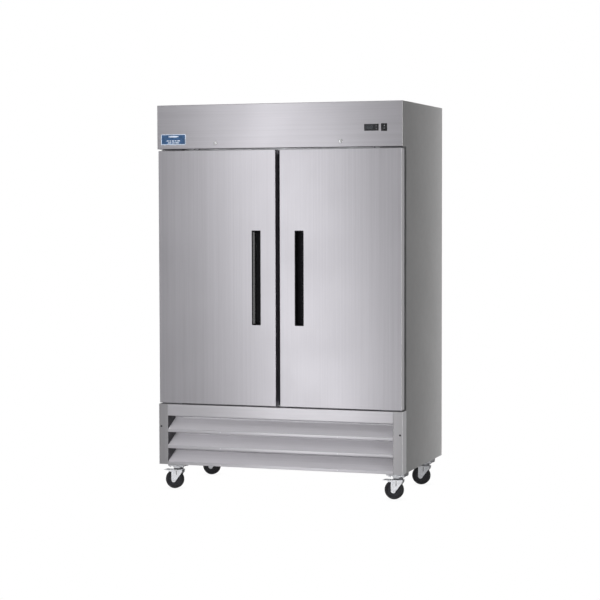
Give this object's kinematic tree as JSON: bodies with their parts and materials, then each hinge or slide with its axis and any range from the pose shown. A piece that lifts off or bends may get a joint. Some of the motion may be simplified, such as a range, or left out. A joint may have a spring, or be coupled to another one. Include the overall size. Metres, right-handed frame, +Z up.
{
  "type": "reach-in refrigerator",
  "caption": "Upright commercial refrigerator with side-by-side solid doors, a louvred base grille and braked swivel casters.",
  "frame": {"origin": "on the floor, below the centre of the cabinet's footprint", "axes": "+Z up, +X to the right as one faces the doors, the doors face -Y"},
  "size_m": [1.3908, 0.8168, 2.089],
  "materials": {
    "badge": "printed metal plate, blue and white with no lettering",
    "black": "fine-textured black ABS",
    "compressor": "black painted steel",
    "fin": "bare aluminium fin",
    "foam": "rigid foam, hidden",
    "galvanised": "plain satin aluminium-zinc sheet",
    "gasket": "grey PVC magnetic gasket",
    "gloss_black": "glossy black plastic",
    "liner": "stippled anodised aluminium sheet",
    "rubber": "black rubber",
    "stainless": "vertical brushed stainless steel, satin",
    "wire": "epoxy-coated wire, off-white",
    "zinc": "bright zinc plate"
  },
  "bodies": {
    "cabinet": {"base_frame": "galvanised", "center_mullion": "black", "compressor": "compressor", "condenser_coil": "fin", "condenser_shroud": "galvanised", "controller_housing": "gloss_black", "evaporator_coil": "fin", "evaporator_cover": "liner", "header_panel": "stainless", "hinge_bottom_left": "zinc", "hinge_bottom_right": "zinc", "hinge_top_left": "zinc", "hinge_top_right": "zinc", "inner_liner": "liner", "insulation_foam": "foam", "louver_grille": "stainless", "nameplate_badge": "badge", "power_inlet": "black", "power_switch_housing": "black", "rear_panel": "galvanised", "shelf_left_1": "wire", "shelf_left_2": "wire", "shelf_left_3": "wire", "shelf_rack_left": "liner", "shelf_rack_right": "liner", "shelf_right_1": "wire", "shelf_right_2": "wire", "shelf_right_3": "wire", "shelf_strip_rear": "liner", "side_panel_left": "galvanised", "side_panel_right": "galvanised", "top_panel": "galvanised"},
    "door_left": {"door_left_skin": "stainless", "door_left_core": "foam", "door_left_liner": "liner", "door_left_gasket": "gasket", "door_left_handle": "black"},
    "lock_left": {"lock_plug_left": "zinc"},
    "evaporator_fan_left": {"evaporator_fan_left": "black"},
    "door_right": {"door_right_skin": "stainless", "door_right_core": "foam", "door_right_liner": "liner", "door_right_gasket": "gasket", "door_right_handle": "black"},
    "lock_right": {"lock_plug_right": "zinc"},
    "evaporator_fan_right": {"evaporator_fan_right": "black"},
    "rocker": {"power_rocker": "gloss_black"},
    "button_up": {"button_up": "rubber"},
    "button_down": {"button_down": "rubber"},
    "condenser_fan": {"condenser_fan": "black"},
    "fork_front_left": {"caster_fork_front_left": "zinc"},
    "wheel_front_left": {"caster_wheel_front_left": "rubber"},
    "pedal_front_left": {"brake_pedal_front_left": "zinc"},
    "fork_front_right": {"caster_fork_front_right": "zinc"},
    "wheel_front_right": {"caster_wheel_front_right": "rubber"},
    "pedal_front_right": {"brake_pedal_front_right": "zinc"},
    "fork_rear_left": {"caster_fork_rear_left": "zinc"},
    "wheel_rear_left": {"caster_wheel_rear_left": "rubber"},
    "fork_rear_right": {"caster_fork_rear_right": "zinc"},
    "wheel_rear_right": {"caster_wheel_rear_right": "rubber"}
  },
  "joints": [
    {"name": "button_down", "type": "slide", "parent": "cabinet", "child": "button_down", "axis": [0, 1, 0], "range_m": [0, 0.001], "stiffness_N_per_m": 500},
    {"name": "button_up", "type": "slide", "parent": "cabinet", "child": "button_up", "axis": [0, 1, 0], "range_m": [0, 0.001], "stiffness_N_per_m": 500},
    {"name": "door_left", "type": "hinge", "parent": "cabinet", "child": "door_left", "pos_m": [-0.66, -0.3764, 1.165], "axis": [0, 0, -1], "range_deg": [0, 115]},
    {"name": "door_right", "type": "hinge", "parent": "cabinet", "child": "door_right", "pos_m": [0.66, -0.3764, 1.165], "axis": [0, 0, 1], "range_deg": [0, 115]},
    {"name": "fan_condenser", "type": "hinge", "parent": "cabinet", "child": "condenser_fan", "pos_m": [-0.3, -0.135, 0.29], "axis": [0, 1, 0], "continuous": true},
    {"name": "fan_evaporator_left", "type": "hinge", "parent": "cabinet", "child": "evaporator_fan_left", "pos_m": [-0.22, -0.162, 1.938], "axis": [0, 1, 0], "continuous": true},
    {"name": "fan_evaporator_right", "type": "hinge", "parent": "cabinet", "child": "evaporator_fan_right", "pos_m": [0.22, -0.162, 1.938], "axis": [0, 1, 0], "continuous": true},
    {"name": "lock_left", "type": "hinge", "parent": "cabinet", "child": "lock_left", "pos_m": [-0.35, -0.3984, 1.884], "axis": [0, -1, 0], "range_deg": [0, 90]},
    {"name": "lock_right", "type": "hinge", "parent": "cabinet", "child": "lock_right", "pos_m": [0.35, -0.3984, 1.884], "axis": [0, 1, 0], "range_deg": [0, 90]},
    {"name": "pedal_front_left", "type": "hinge", "parent": "fork_front_left", "child": "pedal_front_left", "pos_m": [-0.65, -0.2744, 0.0965], "axis": [0, -1, 0], "range_deg": [0, 10]},
    {"name": "pedal_front_right", "type": "hinge", "parent": "fork_front_right", "child": "pedal_front_right", "pos_m": [0.602, -0.2744, 0.0965], "axis": [0, -1, 0], "range_deg": [0, 10]},
    {"name": "rocker_power", "type": "hinge", "parent": "cabinet", "child": "rocker", "pos_m": [0.5859, -0.4009, 1.953], "axis": [-1, 0, 0], "range_deg": [0, 18]},
    {"name": "swivel_front_left", "type": "hinge", "parent": "cabinet", "child": "fork_front_left", "pos_m": [-0.626, -0.2744, 0.11], "axis": [0, 0, 1], "continuous": true},
    {"name": "swivel_front_right", "type": "hinge", "parent": "cabinet", "child": "fork_front_right", "pos_m": [0.626, -0.2744, 0.11], "axis": [0, 0, 1], "continuous": true},
    {"name": "swivel_rear_left", "type": "hinge", "parent": "cabinet", "child": "fork_rear_left", "pos_m": [-0.626, 0.2756, 0.11], "axis": [0, 0, 1], "continuous": true},
    {"name": "swivel_rear_right", "type": "hinge", "parent": "cabinet", "child": "fork_rear_right", "pos_m": [0.626, 0.2756, 0.11], "axis": [0, 0, 1], "continuous": true},
    {"name": "wheel_front_left", "type": "hinge", "parent": "fork_front_left", "child": "wheel_front_left", "pos_m": [-0.648, -0.2744, 0.0508], "axis": [0, 1, 0], "continuous": true},
    {"name": "wheel_front_right", "type": "hinge", "parent": "fork_front_right", "child": "wheel_front_right", "pos_m": [0.604, -0.2744, 0.0508], "axis": [0, 1, 0], "continuous": true},
    {"name": "wheel_rear_left", "type": "hinge", "parent": "fork_rear_left", "child": "wheel_rear_left", "pos_m": [-0.648, 0.2756, 0.0508], "axis": [0, 1, 0], "continuous": true},
    {"name": "wheel_rear_right", "type": "hinge", "parent": "fork_rear_right", "child": "wheel_rear_right", "pos_m": [0.604, 0.2756, 0.0508], "axis": [0, 1, 0], "continuous": true}
  ]
}
